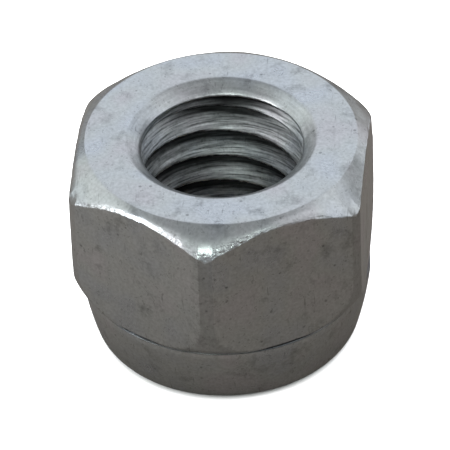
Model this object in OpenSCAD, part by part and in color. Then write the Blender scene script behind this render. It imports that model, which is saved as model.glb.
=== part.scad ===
// Hexagonal lock nut with a nylon ring held in its crown.
// The nut stands on its crown: the crown's lower face is at z = 0 and the bearing face is up.
// Flats face +X and -X, corners point to +Y and -Y. All sizes are in millimetres.

/* [Hexagon] */
// Width across two opposite flats
across_flats = 14.29; // [13:0.01:16]
// Height of the hexagon, from the crown's shoulder to the bearing face
hex_height = 7.8; // [6:0.1:10]
// Amount turned off each sharp corner, measured along the radius
corner_trim = 0.2; // [0.1:0.05:0.5]
// Distance of the bearing face's rim inside the flats
bearing_inset = 0.45; // [0.2:0.05:0.8]
// Angle of the upper chamfer, measured from the bearing face
chamfer_angle = 42; // [25:1:50]
// Radius of the rounded lower end of each corner
corner_end_radius = 3.2; // [2.5:0.1:6]

/* [Crown] */
// Height of the round crown below the hexagon
crown_height = 3.7; // [3.4:0.1:5]
// Distance by which the crown's shoulder stands proud of the flats
crown_ledge = 0.12; // [0.02:0.01:0.2]
// Lean of the crown's wall at the shoulder, measured from upright
crown_taper = 6; // [2:0.5:9]
// Radius of the crown wall's bulge, seen in section
crown_bulge_radius = 19; // [14:1:40]
// Radius of the crown's rolled lower edge
crown_edge_radius = 0.9; // [0.5:0.05:1.2]
// Thickness of the crown's wall at the shoulder
crown_wall = 1.1; // [0.9:0.05:1.4]
// Thickness of the lip that is rolled in under the ring
lip_thickness = 0.8; // [0.6:0.05:1]
// Distance that the lip reaches in under the ring
lip_reach = 1.05; // [0.8:0.05:1.3]

/* [Thread] */
// Diameter of the bore at the crests of the thread
thread_minor_diameter = 7.9; // [7:0.05:8.2]
// Diameter of the mouth of each countersink
thread_mouth_diameter = 9.45; // [8.6:0.05:10]
// Included angle of the countersinks
countersink_angle = 108; // [80:1:125]

/* [Nylon ring] */
// Thickness of the ring
ring_thickness = 2.6; // [2:0.1:3]
// Diameter of the ring's bore, tighter than the bolt
ring_bore_diameter = 8.8; // [8.3:0.05:9.3]
// Radius of the ring's two inner edges
ring_edge_radius = 0.35; // [0.1:0.05:0.8]
// Gap between the ring's rim and the wall of its pocket
ring_clearance = 0.05; // [0.02:0.01:0.1]

/* [Hidden] */

$fn = 96;
arc_steps = 12;
cut_past = 1;

total_height = crown_height + hex_height;
hexagon_radius = across_flats / sqrt(3);
corner_radius = hexagon_radius - corner_trim;
bearing_radius = across_flats / 2 - bearing_inset;
chamfer_drop = (corner_radius - bearing_radius) * tan(chamfer_angle);

shoulder_radius = across_flats / 2 + crown_ledge;
pocket_radius = shoulder_radius - crown_wall;
ring_radius = pocket_radius - ring_clearance;
pocket_floor = lip_thickness + ring_thickness;
lip_nose_radius = lip_thickness / 2;
lip_nose_centre = pocket_radius - lip_reach + lip_nose_radius;

minor_radius = thread_minor_diameter / 2;
mouth_radius = thread_mouth_diameter / 2;
countersink_depth = (mouth_radius - minor_radius) / tan(countersink_angle / 2);

// The corner's lower end is an arc that leaves the corner upright and meets the crown's shoulder.
corner_end_reach = corner_end_radius - (corner_radius - shoulder_radius);
corner_end_height = sqrt(pow(corner_end_radius, 2) - pow(corner_end_reach, 2));
corner_end_centre = [corner_radius - corner_end_radius, crown_height + corner_end_height];

// The crown's wall is an arc that starts at the shoulder and runs into the rolled lower edge.
bulge_centre = [shoulder_radius, crown_height]
    - crown_bulge_radius * [cos(crown_taper), -sin(crown_taper)];
edge_offset = crown_bulge_radius - crown_edge_radius;
edge_drop = bulge_centre[1] - crown_edge_radius;
edge_centre = [bulge_centre[0] + sqrt(pow(edge_offset, 2) - pow(edge_drop, 2)), crown_edge_radius];
edge_angle = asin(edge_drop / edge_offset);

// Points along an arc, from one angle to another
function arc(centre, radius, from, to) =
    [for (i = [0:arc_steps])
        let (angle = from + (to - from) * i / arc_steps)
        centre + radius * [cos(angle), sin(angle)]];

// Half section of the turned shape that trims the hexagon's corners
module corner_section() {
    end_angle = asin(corner_end_height / corner_end_radius);
    polygon(concat(
        [[0, crown_height]],
        arc(corner_end_centre, corner_end_radius, -end_angle, 0),
        [
            [corner_radius, total_height - chamfer_drop],
            [bearing_radius, total_height],
            [0, total_height]
        ]
    ));
}

// Half section of the crown, filled to its axis
module crown_section() {
    polygon(concat(
        [[0, 0]],
        arc(edge_centre, crown_edge_radius, -90, -edge_angle),
        arc(bulge_centre, crown_bulge_radius, -edge_angle, -crown_taper),
        [[0, crown_height]]
    ));
}

// Half section of all that is hollow: lip opening, ring pocket, bore and both countersinks
module hollow_section() {
    polygon(concat(
        [[0, -cut_past], [lip_nose_centre, -cut_past]],
        arc([lip_nose_centre, lip_nose_radius], lip_nose_radius, 270, 90),
        [
            [pocket_radius, lip_thickness],
            [pocket_radius, pocket_floor],
            [mouth_radius, pocket_floor],
            [minor_radius, pocket_floor + countersink_depth],
            [minor_radius, total_height - countersink_depth],
            [mouth_radius, total_height],
            [mouth_radius, total_height + cut_past],
            [0, total_height + cut_past]
        ]
    ));
}

// Half section of the nylon ring, with its inner edges rounded
module ring_section() {
    edge_ring = ring_bore_diameter / 2 + ring_edge_radius;
    polygon(concat(
        [[ring_radius, lip_thickness], [ring_radius, pocket_floor]],
        arc([edge_ring, pocket_floor - ring_edge_radius], ring_edge_radius, 90, 180),
        arc([edge_ring, lip_thickness + ring_edge_radius], ring_edge_radius, 180, 270)
    ));
}

module nut_body() {
    color("#8e9092")
    difference() {
        union() {
            intersection() {
                translate([0, 0, crown_height])
                    rotate([0, 0, 90])
                        cylinder(r = hexagon_radius, h = hex_height, $fn = 6);
                rotate_extrude() corner_section();
            }
            rotate_extrude() crown_section();
        }
        rotate_extrude() hollow_section();
    }
}

module nylon_ring() {
    color("#e8e4d8")
    rotate_extrude() ring_section();
}

nut_body();
nylon_ring();
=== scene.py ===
# %% [markdown]
# # A hex lock nut, dressed for a picture
#
# The part is a zinc-plated steel nut that stands on its rounded crown, with the
# threaded hole and the flat bearing face on top. A ring of nylon sits inside the
# crown, where it grips the bolt. The solids come from the CAD model, which is
# loaded as a fixed frame. This script gives them what the CAD leaves out: a real
# thread, soft forged edges, and the finish of plated steel and moulded nylon.

from math import acos, atan2, copysign, cos, degrees, hypot, pi, radians, sin, tan

import bmesh
import bpy
from mathutils import Matrix, Vector, noise


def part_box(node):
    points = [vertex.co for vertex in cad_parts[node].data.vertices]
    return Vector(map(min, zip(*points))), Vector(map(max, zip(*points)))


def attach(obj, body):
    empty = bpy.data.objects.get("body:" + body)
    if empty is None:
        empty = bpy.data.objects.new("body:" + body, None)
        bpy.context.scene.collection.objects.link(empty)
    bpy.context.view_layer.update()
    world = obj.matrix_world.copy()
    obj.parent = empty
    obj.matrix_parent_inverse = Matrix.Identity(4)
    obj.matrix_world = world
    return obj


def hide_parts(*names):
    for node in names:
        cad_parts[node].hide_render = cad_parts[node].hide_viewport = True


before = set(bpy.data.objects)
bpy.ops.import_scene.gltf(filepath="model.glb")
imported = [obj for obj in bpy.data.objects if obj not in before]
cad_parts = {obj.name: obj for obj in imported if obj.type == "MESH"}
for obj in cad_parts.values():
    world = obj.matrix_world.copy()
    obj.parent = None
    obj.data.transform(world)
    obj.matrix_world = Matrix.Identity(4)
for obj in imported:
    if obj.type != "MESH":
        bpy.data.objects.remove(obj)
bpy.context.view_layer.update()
print("nodes:", sorted(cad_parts))

# %% [markdown]
# ## Sizes
#
# Blender works in metres here, and a nut is easier to think about in millimetres,
# so every size is written in millimetres and multiplied by `MM` where a mesh is
# made. What the CAD node can tell is measured from it: the height and the width
# over the rounded corners.

# %% Sizes of the nut
MM = 0.001
nut_low, nut_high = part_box("nut_body")
TOTAL_HEIGHT = (nut_high.z - nut_low.z) / MM
CORNER_RADIUS = (nut_high.y - nut_low.y) / 2 / MM
SHOULDER_RADIUS = (nut_high.x - nut_low.x) / 2 / MM
FLAT_RADIUS = 7.145
BEARING_RADIUS = 6.695
CHAMFER_ANGLE = 32
CROWN_HEIGHT = 3.7
MINOR_RADIUS = 3.95
MOUTH_RADIUS = 4.725
COUNTERSINK_ANGLE = 108
COUNTERSINK_DEPTH = (MOUTH_RADIUS - MINOR_RADIUS) / tan(radians(COUNTERSINK_ANGLE / 2))
print(f"height {TOTAL_HEIGHT:.2f} mm, over corners {2 * CORNER_RADIUS:.2f} mm")

# %% [markdown]
# ## The outline of the nut
#
# A nut like this is cold-formed: a round slug is upset into a hexagon, and then
# the ends are turned. A mesh can follow the same order. First comes the half
# section that a lathe would turn, drawn as a chain of edges. A straight stroke
# is an extruded vertex, and a round stroke is a vertex spun about the centre of
# its arc. Both are bmesh operators, so no vertex of an arc is worked out by hand.


# %% Pens for the outline
def straight(bm, start, radius, height, rows=1):
    """Draws a straight stroke from a vertex, in so many equal rows."""
    step = (Vector((radius * MM, 0, height * MM)) - start.co) / rows
    for _ in range(rows):
        start = bmesh.ops.extrude_vert_indiv(bm, verts=[start])["verts"][0]
        bmesh.ops.translate(bm, verts=[start], vec=step)
    return start


def round_stroke(bm, start, radius, height, turn, rows):
    """Draws an arc from a vertex about a centre. The turn is in degrees."""
    centre = (radius * MM, 0, height * MM)
    made = bmesh.ops.spin(
        bm, geom=[start], cent=centre, axis=(0, 1, 0), angle=radians(turn), steps=rows
    )
    return next(e for e in made["geom_last"] if isinstance(e, bmesh.types.BMVert))


# %% [markdown]
# The strokes start on the bearing face and run outwards, down the chamfer and the
# corner, into the crease above the crown, round the crown and its rolled edge,
# and back up inside. The chamfer starts flat and rolls over towards its edge, as
# a worn die leaves it.

# %% Sizes of the outline
# Lengths are in millimetres, angles in degrees, and a centre is a radius and a height.
BEARING_MIDDLE = 5.7
FINE_STRIP = 0.25
EDGE_STRIP = 0.12
ROLL_RADIUS = 2.4
ROLL_ANGLE = 64
CORNER_END_CENTRE = (4.850, 5.800)
CORNER_END_TURN = 41.01
CREASE_RADIUS = 7.06
CREASE_HEIGHT = 3.652
RIM_RADIUS = 7.215
RIM_HEIGHT = 3.62
RIM_STRIP = 0.02
BULGE_CENTRE = (-11.631, 5.686)
BULGE_RADIUS = 19
BULGE_START = 7.06
BULGE_END = 15.33
EDGE_CENTRE = (5.825, 0.9)
LIP_CENTRE = (5.515, 0.4)
LIP_THICKNESS = 0.8
POCKET_RADIUS = 6.165
POCKET_FLOOR = 3.4
QUARTER_TURN = 90
HALF_TURN = 180
chamfer = radians(CHAMFER_ANGLE)
roll = radians(ROLL_ANGLE)
ROLL_START = CORNER_RADIUS - ROLL_RADIUS * (sin(roll) - sin(chamfer))
ROLL_TOP = TOTAL_HEIGHT - (ROLL_START - BEARING_RADIUS) * tan(chamfer)
ROLL_CENTRE = (ROLL_START - ROLL_RADIUS * sin(chamfer), ROLL_TOP - ROLL_RADIUS * cos(chamfer))
CORNER_TOP = ROLL_CENTRE[1] + ROLL_RADIUS * cos(roll)
print(f"the chamfer's edge at a corner is {CORNER_TOP:.2f} mm up")

# %% [markdown]
# Each stroke becomes rows of faces later. The rows are close together where the
# shape bends or where the thread will be cut, and wide apart on plain walls, so
# that the whole nut stays under 200,000 triangles.

# %% Draw the outline
BEARING_ROWS = 3
RIM_ROWS = 4
CHAMFER_ROWS = 7
ROLL_ROWS = 20
EDGE_ROWS = 4
WALL_ROWS = 14
FOOT_ROWS = 18
LEDGE_ROWS = 2
SHOULDER_ROWS = 6
BULGE_ROWS = 16
CURL_ROWS = 10
POCKET_ROWS = 3
SEAT_ROWS = 2
SINK_ROWS = 11
THREAD_ROWS = 116
MERGE_DISTANCE = 0.001
shoulder_radius = BULGE_CENTRE[0] + BULGE_RADIUS * cos(radians(BULGE_START))
shoulder_height = BULGE_CENTRE[1] - BULGE_RADIUS * sin(radians(BULGE_START))

bm = bmesh.new()
first = bm.verts.new((BEARING_MIDDLE * MM, 0, TOTAL_HEIGHT * MM))
pen = straight(bm, first, BEARING_RADIUS - FINE_STRIP, TOTAL_HEIGHT, BEARING_ROWS)
pen = straight(bm, pen, BEARING_RADIUS, TOTAL_HEIGHT, RIM_ROWS)
pen = straight(bm, pen, ROLL_START, ROLL_TOP, CHAMFER_ROWS)
pen = round_stroke(bm, pen, *ROLL_CENTRE, ROLL_ANGLE - CHAMFER_ANGLE, ROLL_ROWS)
pen = straight(bm, pen, CORNER_RADIUS, CORNER_TOP - EDGE_STRIP, EDGE_ROWS)
pen = straight(bm, pen, CORNER_RADIUS, CORNER_END_CENTRE[1], WALL_ROWS)
pen = round_stroke(bm, pen, *CORNER_END_CENTRE, CORNER_END_TURN, FOOT_ROWS)
pen = straight(bm, pen, CREASE_RADIUS, CREASE_HEIGHT, LEDGE_ROWS)
pen = straight(bm, pen, RIM_RADIUS, RIM_HEIGHT, LEDGE_ROWS)
pen = straight(bm, pen, RIM_RADIUS, RIM_HEIGHT - RIM_STRIP)
pen = straight(bm, pen, shoulder_radius, shoulder_height, SHOULDER_ROWS)
pen = round_stroke(bm, pen, *BULGE_CENTRE, BULGE_END - BULGE_START, BULGE_ROWS)
pen = round_stroke(bm, pen, *EDGE_CENTRE, QUARTER_TURN - BULGE_END, CURL_ROWS)
pen = straight(bm, pen, LIP_CENTRE[0], 0)
pen = round_stroke(bm, pen, *LIP_CENTRE, HALF_TURN, CURL_ROWS)
pen = straight(bm, pen, POCKET_RADIUS, LIP_THICKNESS)
pen = straight(bm, pen, POCKET_RADIUS, POCKET_FLOOR, POCKET_ROWS)
pen = straight(bm, pen, MOUTH_RADIUS, POCKET_FLOOR, SEAT_ROWS)
pen = straight(bm, pen, MINOR_RADIUS, POCKET_FLOOR + COUNTERSINK_DEPTH, SINK_ROWS)
pen = straight(bm, pen, MINOR_RADIUS, TOTAL_HEIGHT - COUNTERSINK_DEPTH, THREAD_ROWS)
pen = straight(bm, pen, MOUTH_RADIUS, TOTAL_HEIGHT, SINK_ROWS)
pen = straight(bm, pen, MOUTH_RADIUS + FINE_STRIP, TOTAL_HEIGHT, RIM_ROWS)
pen = straight(bm, pen, BEARING_MIDDLE, TOTAL_HEIGHT, BEARING_ROWS)
bmesh.ops.remove_doubles(bm, verts=bm.verts[:], dist=MERGE_DISTANCE * MM)
print("outline points:", len(bm.verts))

# %% [markdown]
# Sharp turned edges don't stay sharp: the nuts tumble against each other in the
# plating barrel. A few passes of smooth_vert on the points near an edge round it
# in the same way, more where the edge took more knocks.


# %% Wear the turned edges
def wear(radius, height, reach, passes):
    """Rounds the outline near a point. The reach is in millimetres."""
    edge = Vector((radius * MM, 0, height * MM))
    near = [v for v in bm.verts if (v.co - edge).length < reach * MM]
    for _ in range(passes):
        bmesh.ops.smooth_vert(bm, verts=near, factor=0.5, use_axis_x=True, use_axis_z=True)
    print(f"worn at {radius:.2f}, {height:.2f} mm: {len(near)} points")


wear(BEARING_RADIUS, TOTAL_HEIGHT, reach=0.12, passes=2)
wear(CORNER_RADIUS, CORNER_TOP, reach=0.12, passes=3)
wear(MOUTH_RADIUS, TOTAL_HEIGHT, reach=0.15, passes=3)
wear(MINOR_RADIUS, TOTAL_HEIGHT - COUNTERSINK_DEPTH, reach=0.3, passes=14)

# %% [markdown]
# A full spin about the upright axis turns the outline into the blank. With
# use_merge the last column is joined to the first, so the skin is closed.

# %% Spin the blank
SPIN_STEPS = 360
bmesh.ops.spin(
    bm,
    geom=bm.verts[:] + bm.edges[:],
    cent=(0, 0, 0),
    axis=(0, 0, 1),
    angle=2 * pi,
    steps=SPIN_STEPS,
    use_merge=True,
)
print("blank faces:", len(bm.faces))

# %% [markdown]
# ## Gathering the columns
#
# The blank's columns stand one degree apart. Each corner of the hexagon will keep
# a narrow upright band of the round blank, with an edge on either side. Columns
# that stand close together on those edges keep them crisp, so the columns near a
# corner are turned towards them. On a round blank that changes nothing to see.

# %% Gather columns at the corner bands
SIXTH = pi / 3
FULL_CORNER = -pi / 2
BAND_HALF = SIXTH / 2 - acos(FLAT_RADIUS / CORNER_RADIUS)
EDGE_COLUMN = radians(3)
LAST_COLUMN = radians(8)


def from_corner(angle):
    """The angle from the nearest corner of the hexagon."""
    return (angle - FULL_CORNER + SIXTH / 2) % SIXTH - SIXTH / 2


def gathered(off):
    """Where a column at this angle from a corner is moved to."""
    far = abs(off)
    if far < EDGE_COLUMN:
        moved = BAND_HALF * (1 - (1 - far / EDGE_COLUMN) ** 2)
    else:
        share = min((far - EDGE_COLUMN) / (LAST_COLUMN - EDGE_COLUMN), 1)
        moved = BAND_HALF + (max(far, LAST_COLUMN) - BAND_HALF) * share**2
    return copysign(moved, off)


for vert in bm.verts:
    off = from_corner(atan2(vert.co.y, vert.co.x))
    vert.co.rotate(Matrix.Rotation(gathered(off) - off, 3, "Z"))
print("corner bands:", round(2 * degrees(BAND_HALF), 2), "degrees wide")

# %% [markdown]
# ## Pressing the six flats
#
# The turned blank becomes a hexagon when its wall is pressed in to the six flats.
# A boolean would do that, but would leave ragged triangles along the curved edges
# that the chamfer makes. Instead each column is pressed by itself: its chamfer
# shrinks about the rim of the bearing face until it ends on the flat, and the wall
# below is stretched up to it. So a row of the mesh runs along every curved edge.
# The corners point along Y, as in the CAD model. One corner filled the forging
# die better than the others: its foot is squarer, and overhangs the crown a little.

# %% Helpers for the flats and their feet
FOOT_SOFTNESS = 0.05
FULL_WIDTH = radians(26)
FULL_SHARE = 0.85
FULL_POWER = 4
FOOT_HEIGHT = 4.45


def soft_minimum(a, b, width):
    """The smaller of two lengths, rounded off where they are close."""
    near = max(width - abs(a - b), 0) / width
    return min(a, b) - near * near * width / 4


def flat_distance(angle):
    """How far out a flat lies in this direction, seen from the axis."""
    return FLAT_RADIUS / cos(SIXTH / 2 - abs(from_corner(angle)))


def filled_foot(radius, angle, height):
    """The radius of a corner's foot, squarer at the corner that filled the die."""
    off = abs((angle - FULL_CORNER + pi) % (2 * pi) - pi) / FULL_WIDTH
    share = FULL_SHARE * max(1 - off**FULL_POWER, 0)
    drop = max(FOOT_HEIGHT - height, 0) / (FOOT_HEIGHT - CROWN_HEIGHT)
    square = CORNER_RADIUS - (CORNER_RADIUS - SHOULDER_RADIUS) * drop
    return radius + share * max(square - radius, 0)


# %% [markdown]
# The edge of the chamfer isn't the same all round. It dips to a small point at
# each corner's band and wanders a little in between, so it doesn't look machined.
# On the +X side the die was fresher, and the chamfer is a plain cone there.

# %% Helpers for the chamfer and its edge
ARC_TOP = CORNER_END_CENTRE[1]
# How far the edge wanders, as a share of its drop, and over what length
UNEVEN = 0.05
UNEVEN_SIZE = 0.8
# How deep the V at a corner dips, and how far its shoulders are pinched up
POINT = 0.22
POINT_POWER = 4
PINCH = 0.5
PINCH_SPREAD = 4
# The side with a plain cone, as angles from the X axis
CRISP_HALF = radians(40)
CRISP_FADE = radians(22)


def pointed(angle):
    """How much lower the chamfer's edge runs, as a V at each corner's band."""
    off = abs(from_corner(angle)) / BAND_HALF
    return POINT * (max(1 - off, 0) - PINCH * max(1 - off / PINCH_SPREAD, 0))


def crisp(radius, angle, height):
    """The height of a point on the chamfer, which is a plain cone on the +X side."""
    share = min(max((CRISP_HALF - abs(angle)) / CRISP_FADE, 0), 1)
    run = (radius - BEARING_RADIUS) / (CORNER_RADIUS - BEARING_RADIUS)
    cone = TOTAL_HEIGHT - run * (TOTAL_HEIGHT - CORNER_TOP)
    return height + share * (cone - height)


def press(radius, angle, height):
    """The pressed radius and height of a point on the turned wall."""
    flat = flat_distance(angle)
    if height < ARC_TOP:
        return soft_minimum(filled_foot(radius, angle, height), flat, FOOT_SOFTNESS), height
    share = (min(flat, CORNER_RADIUS) - BEARING_RADIUS) / (CORNER_RADIUS - BEARING_RADIUS)
    pressed = BEARING_RADIUS + share * (radius - BEARING_RADIUS)
    around = Vector((cos(angle), sin(angle), 0)) * CORNER_RADIUS / UNEVEN_SIZE
    down = min((TOTAL_HEIGHT - height) / (TOTAL_HEIGHT - CORNER_TOP), 1)
    drop = share * (1 + pointed(angle) * down**POINT_POWER + UNEVEN * noise.noise(around))
    if height > CORNER_TOP:
        return pressed, TOTAL_HEIGHT - drop * (TOTAL_HEIGHT - crisp(radius, angle, height))
    edge_height = TOTAL_HEIGHT - drop * (TOTAL_HEIGHT - CORNER_TOP)
    up = (height - ARC_TOP) / (CORNER_TOP - ARC_TOP)
    return pressed, ARC_TOP + up * (edge_height - ARC_TOP)


# %% [markdown]
# Now each point of the wall is pressed, and small dents are put in near the edge.
# The same loop writes three attributes that the plate's material will read: painted
# shade and dirt in the crease above the crown, the bands at the corners, and a burr
# along the chamfer's edge, which is strongest where one edge was scraped.

# %% Press the flats
DENT_DEPTH = 0.04
DENT_SIZE = 0.22
DENT_REACH = 0.9
# The burr lies on the chamfer, just above its edge.
BURR_RISE = 0.2
BURR_MIDDLE = CORNER_TOP + BURR_RISE
BURR_REACH = 0.35
BURR_LEAST = 0.2
SCRAPE_ANGLE = radians(-78)
SCRAPE_HALF = radians(22)
CREASE_REACH = 0.055
# Painted shade and dirt are shares from 0 to 1. The ledge gets more painted shade, which also dims
# its reflection.
CREASE_DIRT_AND_SHADE = 0.55
LEDGE_SHADE = 0.15
CREASE_PATCHES = 0.1
CREASE_PATCH_SIZE = 1.2

dirt_and_shade = bm.verts.layers.float.new("dirt_and_shade")
band = bm.verts.layers.float.new("band")
burr = bm.verts.layers.float.new("burr")
for vert in bm.verts:
    x, y, z = vert.co / MM
    radius = hypot(x, y)
    angle = atan2(y, x)
    # Painted shade and dirt darken the crease above the crown, more on its ledge.
    if abs(z - CREASE_HEIGHT) < CREASE_REACH and radius > POCKET_RADIUS:
        patch = noise.noise(vert.co / MM / CREASE_PATCH_SIZE)
        ledge = max(radius - CREASE_RADIUS, 0) / (RIM_RADIUS - CREASE_RADIUS)
        vert[dirt_and_shade] = CREASE_DIRT_AND_SHADE + LEDGE_SHADE * min(ledge, 1) + CREASE_PATCHES * patch
    if radius > BEARING_RADIUS and z > CROWN_HEIGHT:
        if radius < flat_distance(angle) and z < CORNER_TOP:
            vert[band] = 1
        pressed, height = press(radius, angle, z)
        scrape = max(1 - abs(angle - SCRAPE_ANGLE) / SCRAPE_HALF, BURR_LEAST)
        vert[burr] = scrape * max(1 - abs(z - BURR_MIDDLE) / BURR_REACH, 0)
        near_edge = max(1 - abs(z - CORNER_TOP) / DENT_REACH, 0)
        dent = DENT_DEPTH * near_edge * abs(noise.noise(vert.co / MM / DENT_SIZE))
        vert.co.xy *= (pressed - dent) / radius
        vert.co.z = height * MM
print("over flats:", 2 * max(v.co.x for v in bm.verts if v.co.z > ARC_TOP * MM) / MM)

# %% [markdown]
# ## Knocked corners
#
# Nuts fall on their corners. The ones at the back took more knocks than the rest,
# so the points round each of them are smoothed until the corner is blunt.

# %% Knock the back corners
KNOCKED = (SIXTH / 2, 3 * SIXTH / 2, 5 * SIXTH / 2)
KNOCK_REACH = 1.1
KNOCK_PASSES = 30
for angle in KNOCKED:
    tip = Vector((CORNER_RADIUS * cos(angle), CORNER_RADIUS * sin(angle), CORNER_TOP)) * MM
    near = [v for v in bm.verts if (v.co - tip).length < KNOCK_REACH * MM]
    for _ in range(KNOCK_PASSES):
        bmesh.ops.smooth_vert(
            bm, verts=near, factor=0.5, use_axis_x=True, use_axis_y=True, use_axis_z=True
        )
    print(f"corner at {degrees(angle):.0f} degrees: {len(near)} points smoothed")

# %% [markdown]
# ## Cutting the thread
#
# The thread is a right-hand one of 1.5875 mm pitch. The tap tore its crests over,
# so each upper flank runs on down to the lower edge of its crest. It could
# be swept along a helix and cut by a boolean, which is slow and often leaves
# slivers where the thread runs out at the countersinks. The bore already has
# close rows, so each point is moved out to the thread's own radius at its angle
# and height. Where the countersink is wider than the thread, the countersink
# stays, and the thread runs out in it as a tapped one does.

# %% Shape of the thread
PITCH = 1.5875
MAJOR_RADIUS = 4.65
FLANK_ANGLE = 30
ROOT_WIDTH = PITCH / 8
CREST_WIDTH = 0.06
# Where the lower edge of a crest crosses the middle of the far wall
CREST_EDGE_HEIGHT = 8.73
CREST_EDGE_ANGLE = 97.35
THREAD_DEPTH = MAJOR_RADIUS - MINOR_RADIUS
LOWER_FLANK = THREAD_DEPTH * tan(radians(FLANK_ANGLE))
UPPER_FLANK = PITCH - CREST_WIDTH - ROOT_WIDTH - LOWER_FLANK
RUN_OUT_START = 10.6
RUN_OUT_END = 10.92
FULL_CIRCLE = 360


def thread_share(angle, height):
    """How deep the thread is at an angle in degrees and a height, from 0 to 1."""
    lead = PITCH * (angle - CREST_EDGE_ANGLE) / FULL_CIRCLE
    along = (height - CREST_EDGE_HEIGHT - lead) % PITCH
    if along < CREST_WIDTH:
        return 0
    into = min((along - CREST_WIDTH) / UPPER_FLANK, (PITCH - along) / LOWER_FLANK)
    run_out = (RUN_OUT_END - height) / (RUN_OUT_END - RUN_OUT_START)
    return min(into, 1) * min(max(run_out, 0), 1)


print("upper flank:", round(UPPER_FLANK, 3), "mm")

# %% [markdown]
# A torn thread has ragged edges, so a little noise shifts the height at which each
# point looks up the thread's depth. The depth is also kept as an attribute, for
# the oil and painted shade in the roots. A band of painted shade lies just below the
# countersink at the back, and the sides of the first turn are painted lighter, with
# less oil and painted shade.

# %% Cut the thread
RAGGED = 0.03
RAGGED_SIZE = 0.2
RAGGED_SQUEEZE = 2
SINK_MARKS = 0.25
# Heights between which the band of painted shade and the painted lighter sides fade in
MOUTH_SHADE_START = 10.15
MOUTH_SHADE_END = 10.4
MOUTH_SHADE_TOP = 10.84
MOUTH_SHADE = 0.8
SIDE_LIGHTENING_START = 9.0
SIDE_LIGHTENING_END = 9.4
SIDE_LIGHTENING_POWER = 3
SIDE_LIGHTENING = 0.65

bore = bm.verts.layers.float.new("bore")
for vert in bm.verts:
    x, y, z = vert.co / MM
    radius = hypot(x, y)
    if radius < MOUTH_RADIUS - RAGGED and z > POCKET_FLOOR:
        wobble = RAGGED * noise.noise(Vector((x, y, RAGGED_SQUEEZE * z)) / RAGGED_SIZE)
        share = thread_share(degrees(atan2(y, x)), z + wobble)
        cut = max(radius, MINOR_RADIUS + THREAD_DEPTH * share)
        vert.co.xy *= cut / radius
        # A band of painted shade lies below the countersink; the sides of the first turn are painted
        # lighter.
        mouth_shade = MOUTH_SHADE * min(max((z - MOUTH_SHADE_START) / (MOUTH_SHADE_END - MOUTH_SHADE_START), 0), 1)
        first_turn = min(max((z - SIDE_LIGHTENING_START) / (SIDE_LIGHTENING_END - SIDE_LIGHTENING_START), 0), 1)
        side_lightening = SIDE_LIGHTENING * first_turn * (1 - max(y / radius, 0) ** SIDE_LIGHTENING_POWER)
        vert[dirt_and_shade] = max(share, mouth_shade) * (1 - side_lightening) if z < MOUTH_SHADE_TOP else 0
        vert[bore] = 1 if z < MOUTH_SHADE_TOP else SINK_MARKS
print("points in the hole:", sum(1 for v in bm.verts if v[bore]))

# %% [markdown]
# ## From bmesh to piece
#
# A spun mesh may come out inside out, so its normals are worked out afresh before
# it becomes an object. The object stays at the origin: its place is in the mesh.


# %% Make the nut body
def make_piece(bm, name):
    """Turns a bmesh into a smooth-shaded object that rides on the part."""
    bmesh.ops.recalc_face_normals(bm, faces=bm.faces[:])
    for face in bm.faces:
        face.smooth = True
    mesh = bpy.data.meshes.new(name)
    bm.to_mesh(mesh)
    bm.free()
    piece = bpy.data.objects.new(name, mesh)
    bpy.context.scene.collection.objects.link(piece)
    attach(piece, "root")
    print(name, "has", len(mesh.polygons), "faces")
    return piece


nut = make_piece(bm, "plated_nut")
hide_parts("nut_body")

# %% [markdown]
# ## The nylon ring
#
# The ring is a plain washer of moulded nylon that the crown's lip holds in its
# pocket. Its bore is a little smaller than the bolt, so the bolt forms its own
# thread in it. A square section is drawn with the same pens, its corners are
# rounded by a vertex bevel, and it is spun.

# %% Make the ring
ring_low, ring_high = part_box("nylon_ring")
RING_RADIUS = (ring_high.x - ring_low.x) / 2 / MM
RING_BORE_RADIUS = 4.4
RING_EDGE = 0.35
RING_STEPS = 120

bm = bmesh.new()
first = bm.verts.new((RING_BORE_RADIUS * MM, 0, ring_low.z))
pen = straight(bm, first, RING_RADIUS, ring_low.z / MM)
pen = straight(bm, pen, RING_RADIUS, ring_high.z / MM)
pen = straight(bm, pen, RING_BORE_RADIUS, ring_high.z / MM)
bm.edges.new((pen, first))
bmesh.ops.bevel(
    bm,
    geom=bm.verts[:],
    offset=RING_EDGE * MM,
    segments=6,
    profile=0.5,
    affect="VERTICES",
    material=-1,
)
bmesh.ops.spin(
    bm,
    geom=bm.verts[:] + bm.edges[:],
    cent=(0, 0, 0),
    axis=(0, 0, 1),
    angle=2 * pi,
    steps=RING_STEPS,
    use_merge=True,
)
ring = make_piece(bm, "nylon_insert")
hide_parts("nylon_ring")

# %% [markdown]
# ## Materials
#
# Colours are written as sRGB hex values, as a colour picker shows them. Blender's
# shaders work with linear light, so one function turns them over. Another adds a
# node, sets it up and links it, which keeps each material short enough to read.


# %% Helpers for materials
def linear(hex_colour):
    """A linear RGBA colour from an sRGB hex value, by the sRGB standard's formula."""
    parts = [int(hex_colour[i : i + 2], 16) / 255 for i in (1, 3, 5)]
    return (*[p / 12.92 if p <= 0.04045 else ((p + 0.055) / 1.055) ** 2.4 for p in parts], 1)


def add(tree, kind, links=None, **settings):
    """Adds a node. Settings name properties or sockets, and links feed sockets."""
    node = tree.nodes.new("ShaderNode" + kind)
    for key, value in settings.items():
        if key in node.inputs:
            node.inputs[key].default_value = value
        else:
            setattr(node, key, value)
    for socket, source in (links or {}).items():
        tree.links.new(source, node.inputs[socket])
    return node


def new_material(name):
    """An empty node material with its shader and its output."""
    material = bpy.data.materials.new(name)
    material.use_nodes = True
    tree = material.node_tree
    tree.nodes.clear()
    shader = add(tree, "BsdfPrincipled")
    add(tree, "OutputMaterial", {"Surface": shader.outputs["BSDF"]})
    return material, tree, shader


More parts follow.
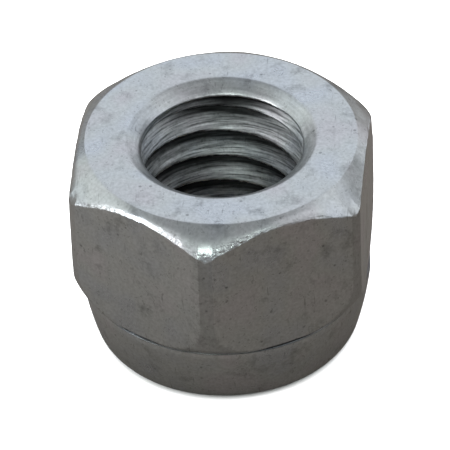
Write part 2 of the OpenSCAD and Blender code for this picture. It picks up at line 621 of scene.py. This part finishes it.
def feed(tree, shader, **sources):
    """Links outputs to the shader's sockets, with spaces written as _."""
    for socket, source in sources.items():
        tree.links.new(source, shader.inputs[socket.replace("_", " ")])


def per_mm(size):
    """The scale of a pattern whose features are this many millimetres wide."""
    return 1 / (size * MM)


# %% [markdown]
# ## Zinc plate
#
# The steel is barrel-plated with zinc and dipped in a clear blue passivate. It is
# a bright but not mirror-like metal. A slow drift of blue and straw comes from
# the passivate, and a fine grain from the etched steel below. Each of the next
# cells makes one kind of mark as a tone, a number that darkens the plate where
# it is below one. At the end all the tones are multiplied into the colour.

# %% Drift and grain of the plate
DRIFT_SIZE = 2.2
GRAIN_SIZE = 0.16
# Zinc-plated steel, plated in a barrel and passivated, which gives it a soft blue gloss.
zinc, tree, shader = new_material("zinc_plated_steel")
place = add(tree, "TexCoord").outputs["Object"]
drift = add(tree, "TexNoise", {"Vector": place}, Scale=per_mm(DRIFT_SIZE), Detail=1.0)
tint = add(tree, "ValToRGB", {"Fac": drift.outputs["Fac"]})
tint.color_ramp.elements[0].position = 0.32
tint.color_ramp.elements[0].color = linear("#b6bcc2")
tint.color_ramp.elements[1].position = 0.68
tint.color_ramp.elements[1].color = linear("#babbbf")
tint.color_ramp.elements.new(0.5).color = linear("#b8bdbf")
# Grain this coarse stands for crystals a tenth of the size, which wouldn't show.
grain = add(tree, "TexNoise", {"Vector": place}, Scale=per_mm(GRAIN_SIZE), Detail=3.0)
grain_tone = add(
    tree,
    "MapRange",
    {"Value": grain.outputs["Fac"]},
    **{"From Min": 0.3, "From Max": 0.7, "To Min": 0.83, "To Max": 1.07},
)

# %% [markdown]
# Pits are places where the zinc didn't take. Voronoi cells spread them evenly by
# chance, and only some cells hold one. Scratches are a noise that is stretched in
# one slanting direction, of which only the highest crests show.

# %% Pits of the plate
PIT_SPACING = 0.5
PIT_LIMIT = 0.17
pit = add(tree, "TexVoronoi", {"Vector": place}, Scale=per_mm(PIT_SPACING))
# Each cell has a colour of its own, and only the reddest cells hold a pit.
chance = add(tree, "SeparateColor", {"Color": pit.outputs["Color"]})
pit_radius = add(
    tree,
    "MapRange",
    {"Value": chance.outputs["Red"]},
    **{"From Min": 0.65, "From Max": 1.0, "To Min": 0.0, "To Max": PIT_LIMIT},
)
rough_rim = add(
    tree, "Math", {0: grain.outputs["Fac"], 2: pit.outputs["Distance"]}, operation="MULTIPLY_ADD"
)
rough_rim.inputs[1].default_value = -PIT_LIMIT
inside = add(
    tree, "Math", {0: rough_rim.outputs[0], 1: pit_radius.outputs["Result"]}, operation="SUBTRACT"
)
pit_tone = add(
    tree,
    "MapRange",
    {"Value": inside.outputs[0]},
    **{"From Min": -0.12, "From Max": -0.03, "To Min": 0.6, "To Max": 1.0},
)

# %% Scratches of the plate
SCRATCH_WIDTH = 0.10
SCRATCH_LENGTH = 1.1
SCRATCH_SLANT = (0.8, 0.7, 0.9)
scratch_place = add(
    tree,
    "Mapping",
    {"Vector": place},
    Rotation=SCRATCH_SLANT,
    Scale=(per_mm(SCRATCH_WIDTH), per_mm(SCRATCH_LENGTH), per_mm(SCRATCH_LENGTH)),
)
scratch = add(
    tree, "TexNoise", {"Vector": scratch_place.outputs["Vector"]}, Scale=1.0, Detail=2.0
)
scratch_tone = add(
    tree,
    "MapRange",
    {"Value": scratch.outputs["Fac"]},
    **{"From Min": 0.68, "From Max": 0.76, "To Min": 1.0, "To Max": 0.66},
)

# %% [markdown]
# Nuts that are handled in bulk get short dark strokes where they rub on each other,
# and smudges from oily hands. The strokes follow the borders of Voronoi cells, and
# the smudges are a rough noise, cut off so that most of the plate stays clean.

# %% Handling marks of the plate
MARK_SPACING = 1.1
MARK_WIDTH = 0.02
MARK_LEVEL = 0.58
crack = add(
    tree,
    "TexVoronoi",
    {"Vector": place},
    feature="DISTANCE_TO_EDGE",
    Scale=per_mm(MARK_SPACING),
)
# Where the grain is low, the line breaks up, so a mark is a short ragged stroke.
broken = add(
    tree, "Math", {0: grain.outputs["Fac"], 1: crack.outputs["Distance"]}, operation="SUBTRACT"
)
handling_tone = add(
    tree,
    "MapRange",
    {"Value": broken.outputs[0]},
    **{
        "From Min": MARK_LEVEL - MARK_WIDTH,
        "From Max": MARK_LEVEL + MARK_WIDTH,
        "To Min": 1.0,
        "To Max": 0.70,
    },
)

# %% Smudges of the plate
SMUDGE_SIZE = 1.3
smudge = add(
    tree, "TexNoise", {"Vector": place}, Scale=per_mm(SMUDGE_SIZE), Detail=6.0, Roughness=0.7
)
smudge_tone = add(
    tree,
    "MapRange",
    {"Value": smudge.outputs["Fac"]},
    **{"From Min": 0.54, "From Max": 0.70, "To Min": 1.0, "To Max": 0.62},
)

# %% [markdown]
# In the hole the tap left marks that run round it, and dark oil and painted shade lie
# in the bottom of the thread. The mesh says where the hole is and how deep each point
# lies in the thread, so the material reads the two attributes that the thread cell wrote.

# %% Tool marks, oil and painted shade of the thread
TOOL_MARK_WIDTH = 0.08
TOOL_MARK_LENGTH = 1.7
tool_place = add(
    tree,
    "Mapping",
    {"Vector": place},
    Scale=(per_mm(TOOL_MARK_LENGTH), per_mm(TOOL_MARK_LENGTH), per_mm(TOOL_MARK_WIDTH)),
)
tool = add(tree, "TexNoise", {"Vector": tool_place.outputs["Vector"]}, Scale=1.0, Detail=3.0)
tool_tone = add(
    tree,
    "MapRange",
    {"Value": tool.outputs["Fac"]},
    **{"From Min": 0.3, "From Max": 0.7, "To Min": 0.25, "To Max": 1.35},
)
in_bore = add(tree, "Attribute", attribute_name="bore").outputs["Fac"]
bore_tone = add(tree, "Mix", {"Factor": in_bore, 3: tool_tone.outputs["Result"]}, A=1.0)
# Oil, dirt and painted shade: this tone darkens the thread's roots, the band below the countersink
# and the crease above the crown.
dirt_and_shade_share = add(tree, "Attribute", attribute_name="dirt_and_shade").outputs["Fac"]
dirt_and_shade_tone = add(
    tree,
    "MapRange",
    {"Value": dirt_and_shade_share},
    **{"From Min": 0.3, "From Max": 0.8, "To Min": 1.0, "To Max": 0.06},
)

# %% [markdown]
# The upright bands at the corners never touched the flats of the die. They are
# a little darker than the flats, with a clear border on either side.

# %% Corner bands of the plate
on_band = add(tree, "Attribute", attribute_name="band").outputs["Fac"]
band_tone = add(tree, "MapRange", {"Value": on_band}, **{"To Min": 1.0, "To Max": 0.80})

# %% [markdown]
# The tones meet here. The gloss drifts with the passivate, and the torn thread is
# rougher than the rest. Three bumps follow each other: the grain, the tool marks in
# the hole, and the burr, whose small facets break up the light on the edges.

# %% Colour and gloss of the plate
TORN_ROUGHNESS = 0.52
tone = grain_tone.outputs["Result"]
for mark in (pit_tone, scratch_tone, handling_tone, smudge_tone, bore_tone, dirt_and_shade_tone, band_tone):
    tone = add(tree, "Math", {0: tone, 1: mark.outputs["Result"]}, operation="MULTIPLY").outputs[0]
colour = add(tree, "VectorMath", {"Vector": tint.outputs["Color"], "Scale": tone}, operation="SCALE")
gloss = add(
    tree,
    "MapRange",
    {"Value": drift.outputs["Fac"]},
    **{"From Min": 0.3, "From Max": 0.7, "To Min": 0.27, "To Max": 0.37},
)
roughness = add(tree, "Mix", {"Factor": in_bore, 2: gloss.outputs["Result"]}, B=TORN_ROUGHNESS)

# %% Relief of the plate
GRAIN_HEIGHT = 0.015
TOOL_MARK_HEIGHT = 0.02
BURR_SIZE = 0.26
BURR_HEIGHT = 0.15
relief = add(
    tree, "Bump", {"Height": grain.outputs["Fac"]}, Strength=0.10, Distance=GRAIN_HEIGHT * MM
)
marks = add(
    tree,
    "Bump",
    {"Height": tool.outputs["Fac"], "Strength": in_bore, "Normal": relief.outputs["Normal"]},
    Distance=TOOL_MARK_HEIGHT * MM,
)
bruise = add(tree, "TexNoise", {"Vector": place}, Scale=per_mm(BURR_SIZE), Detail=1.0)
on_edge = add(tree, "Attribute", attribute_name="burr").outputs["Fac"]
bruises = add(
    tree,
    "Bump",
    {"Height": bruise.outputs["Fac"], "Strength": on_edge, "Normal": marks.outputs["Normal"]},
    Distance=BURR_HEIGHT * MM,
)
shader.inputs["Metallic"].default_value = 1.0
feed(
    tree,
    shader,
    Base_Color=colour.outputs["Vector"],
    Roughness=roughness.outputs["Result"],
    Normal=bruises.outputs["Normal"],
)
nut.data.materials.append(zinc)
print("zinc plate:", len(tree.nodes), "nodes")

# %% [markdown]
# ## Nylon
#
# The ring is moulded from natural nylon, undyed. It is off-white, a little
# see-through and soft in gloss. A slow cloud of two off-whites and some light that
# travels below the surface are enough, because little of the ring can be seen.

# %% Nylon
CLOUD_SIZE = 1.5
# Moulded nylon takes the fine matt finish of its mould.
nylon, tree, shader = new_material("moulded_nylon")
place = add(tree, "TexCoord").outputs["Object"]
cloud = add(tree, "TexNoise", {"Vector": place}, Scale=per_mm(CLOUD_SIZE), Detail=2.0)
tint = add(tree, "ValToRGB", {"Fac": cloud.outputs["Fac"]})
tint.color_ramp.elements[0].color = linear("#dcd8c8")
tint.color_ramp.elements[1].color = linear("#efece2")
tree.links.new(tint.outputs["Color"], shader.inputs["Base Color"])
shader.inputs["Roughness"].default_value = 0.45
shader.inputs["Subsurface Weight"].default_value = 0.2
shader.inputs["Subsurface Radius"].default_value = (0.6 * MM, 0.5 * MM, 0.4 * MM)
ring.data.materials.append(nylon)
print("nylon:", len(tree.nodes), "nodes")

# %% [markdown]
# ## Floor and light
#
# Bright metal shows what surrounds it. The floor is white to the camera, and a
# grey card lies on it that only reflections see, as a photographer would put
# darker card round shiny metal. Large soft boxes do the rest.

# %% Floor and card
FLOOR_SIZE = 2.0


def make_floor(name, height, colour):
    """A wide flat sheet at a height in metres, in one plain matt colour."""
    bm = bmesh.new()
    bmesh.ops.create_grid(bm, x_segments=1, y_segments=1, size=FLOOR_SIZE / 2)
    bmesh.ops.translate(bm, verts=bm.verts[:], vec=(0, 0, height))
    mesh = bpy.data.meshes.new(name)
    bm.to_mesh(mesh)
    bm.free()
    sheet = bpy.data.objects.new(name, mesh)
    bpy.context.scene.collection.objects.link(sheet)
    material, tree, shader = new_material(name + "_paper")
    shader.inputs["Base Color"].default_value = linear(colour)
    shader.inputs["Roughness"].default_value = 0.9
    shader.inputs["Specular IOR Level"].default_value = 0.0
    mesh.materials.append(material)
    return sheet


floor = make_floor("floor", 0.0, "#f4f4f4")
floor.visible_glossy = False
print("floor:", FLOOR_SIZE, "m wide")

# %% Reflection card
CARD_LIFT = 0.02
CARD_FADE = 14
CARD_LEFT = "#5b5753"
CARD_RIGHT = "#4d4843"
card = make_floor("reflection_card", CARD_LIFT * MM, CARD_LEFT)
tree = card.active_material.node_tree
across = add(tree, "SeparateXYZ", {"Vector": add(tree, "TexCoord").outputs["Object"]})
fade = add(
    tree,
    "MapRange",
    {"Value": across.outputs["X"]},
    **{"From Min": -CARD_FADE * MM, "From Max": CARD_FADE * MM},
)
shade = add(tree, "ValToRGB", {"Fac": fade.outputs["Result"]})
shade.color_ramp.elements[0].color = linear(CARD_LEFT)
shade.color_ramp.elements[1].color = linear(CARD_RIGHT)
feed(tree, tree.nodes["Principled BSDF"], Base_Color=shade.outputs["Color"])
card.visible_camera = False
card.visible_diffuse = False
card.visible_shadow = False
print("card fades over", 2 * CARD_FADE, "mm")

# %% [markdown]
# Each soft box is an area light. On metal it is seen as much as it lights, so it is
# set by its radiance, which is how bright it looks in a reflection, and the power
# follows from its size. The back box fills the bearing face, the side boxes fill the
# chamfers and the countersink, and the small bright ones draw the glints on edges.

# %% Soft boxes
TARGET = Vector((0, 0, TOTAL_HEIGHT / 2 * MM))


def soft_box(name, azimuth, elevation, away, size, radiance, colour):
    """An area light that faces the nut, with angles in degrees and lengths in metres."""
    width, height = size
    data = bpy.data.lights.new(name, "AREA")
    data.shape = "RECTANGLE"
    data.size = width
    data.size_y = height
    data.energy = radiance * pi * width * height
    data.color = linear(colour)[:3]
    box = bpy.data.objects.new(name, data)
    a, e = radians(azimuth), radians(elevation)
    outwards = Vector((sin(a) * cos(e), -cos(a) * cos(e), sin(e)))
    box.location = TARGET + away * outwards
    box.rotation_euler = outwards.to_track_quat("Z", "Y").to_euler()
    bpy.context.scene.collection.objects.link(box)
    return box


soft_box(
    "back_box", azimuth=174, elevation=40, away=0.35,
    size=(0.54, 0.40), radiance=0.77, colour="#f2f7ff",
)
soft_box(
    "left_box", azimuth=-104, elevation=28, away=0.35,
    size=(0.30, 0.32), radiance=0.84, colour="#fafffa",
)
soft_box(
    "left_lamp", azimuth=-58, elevation=18, away=0.35,
    size=(0.10, 0.16), radiance=9.0, colour="#ffffff",
)
soft_box(
    "right_box", azimuth=88, elevation=30, away=0.35,
    size=(0.32, 0.34), radiance=0.85, colour="#fbfcff",
)
soft_box(
    "low_box", azimuth=142, elevation=4, away=0.35,
    size=(0.22, 0.07), radiance=1.1, colour="#fbfcff",
)
soft_box(
    "front_box", azimuth=-7, elevation=36, away=0.40,
    size=(0.14, 0.05), radiance=12.0, colour="#f4fff7",
)
soft_box(
    "front_strip", azimuth=32, elevation=28, away=0.40,
    size=(0.16, 0.05), radiance=3.0, colour="#f4fff7",
)
wash = soft_box(
    "floor_wash", azimuth=0, elevation=90, away=0.50,
    size=(0.9, 0.9), radiance=5.0, colour="#ffffff",
)
wash.visible_glossy = False
print("soft boxes:", len(bpy.data.lights))

# %% World
world = bpy.data.worlds.new("studio")
bpy.context.scene.world = world
world.use_nodes = True
sky = world.node_tree.nodes["Background"]
sky.inputs["Color"].default_value = linear("#a9aaab")
sky.inputs["Strength"].default_value = 1.0
bpy.context.scene.view_settings.view_transform = "Standard"
print("view transform:", bpy.context.scene.view_settings.view_transform)

# %% [markdown]
# ## Camera
#
# The photograph was taken from far off with a long lens, 40 degrees above the
# horizon, and the camera leaned a little to one side. The camera's three axes
# are worked out from those angles, and stand as the columns of its matrix.

# %% Camera
AZIMUTH = radians(7.35)
ELEVATION = radians(39.75)
LEAN = radians(-2.245)
DISTANCE = 253.9
FOCAL_LENGTH = 414.4
SENSOR = 36
CLIP_START = 10
OFF_RIGHT = 0.193
OFF_UP = -4.33

backwards = Vector(
    (sin(AZIMUTH) * cos(ELEVATION), -cos(AZIMUTH) * cos(ELEVATION), sin(ELEVATION))
)
level = Vector((cos(AZIMUTH), sin(AZIMUTH), 0))
upright = backwards.cross(level)
right = cos(LEAN) * level + sin(LEAN) * upright
up = -sin(LEAN) * level + cos(LEAN) * upright
centre = Vector((0, 0, TOTAL_HEIGHT))
spot = (centre + DISTANCE * backwards + OFF_RIGHT * right + OFF_UP * up) * MM

lens = bpy.data.cameras.new("camera")
lens.lens = FOCAL_LENGTH
lens.sensor_width = SENSOR
lens.clip_start = CLIP_START * MM
camera = bpy.data.objects.new("camera", lens)
camera.matrix_world = Matrix.Translation(spot) @ Matrix((right, up, backwards)).transposed().to_4x4()
bpy.context.scene.collection.objects.link(camera)
bpy.context.scene.camera = camera
print("camera at", [round(c / MM, 1) for c in spot], "mm")
